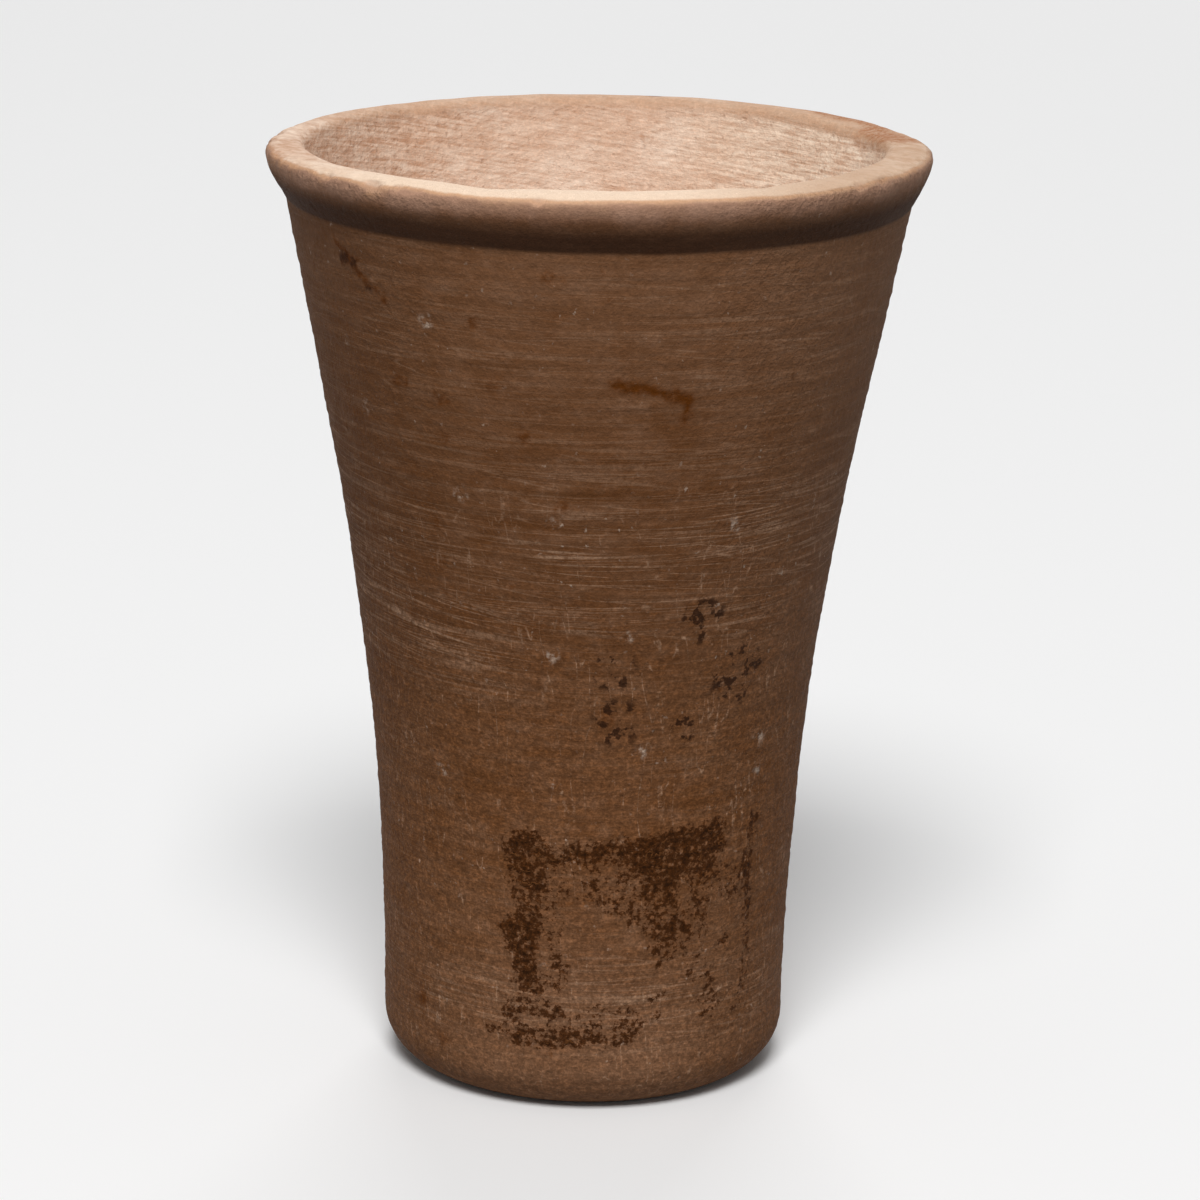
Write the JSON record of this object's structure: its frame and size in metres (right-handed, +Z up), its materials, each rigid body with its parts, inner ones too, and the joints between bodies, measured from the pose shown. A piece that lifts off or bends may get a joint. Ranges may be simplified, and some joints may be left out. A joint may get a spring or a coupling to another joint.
{
  "type": "conical stone vase",
  "caption": "Small free-standing stone vase with a hollow flared wall, an undercut flat rim, a tapering drilled bore and a film of dried paste on its lower wall.",
  "frame": {"origin": "middle of the flat base, on the surface the vase stands on", "axes": "+Z up along the vase's axis, -Y towards the front with the dried paste, +X to the right of it"},
  "size_m": [0.0836, 0.0836, 0.12],
  "materials": {
    "stone": "ground matt, with fine level lines",
    "dried_paste": "dull, flaking"
  },
  "bodies": {
    "root": {"vessel": "stone", "glue_residue": "dried_paste"}
  },
  "joints": []
}
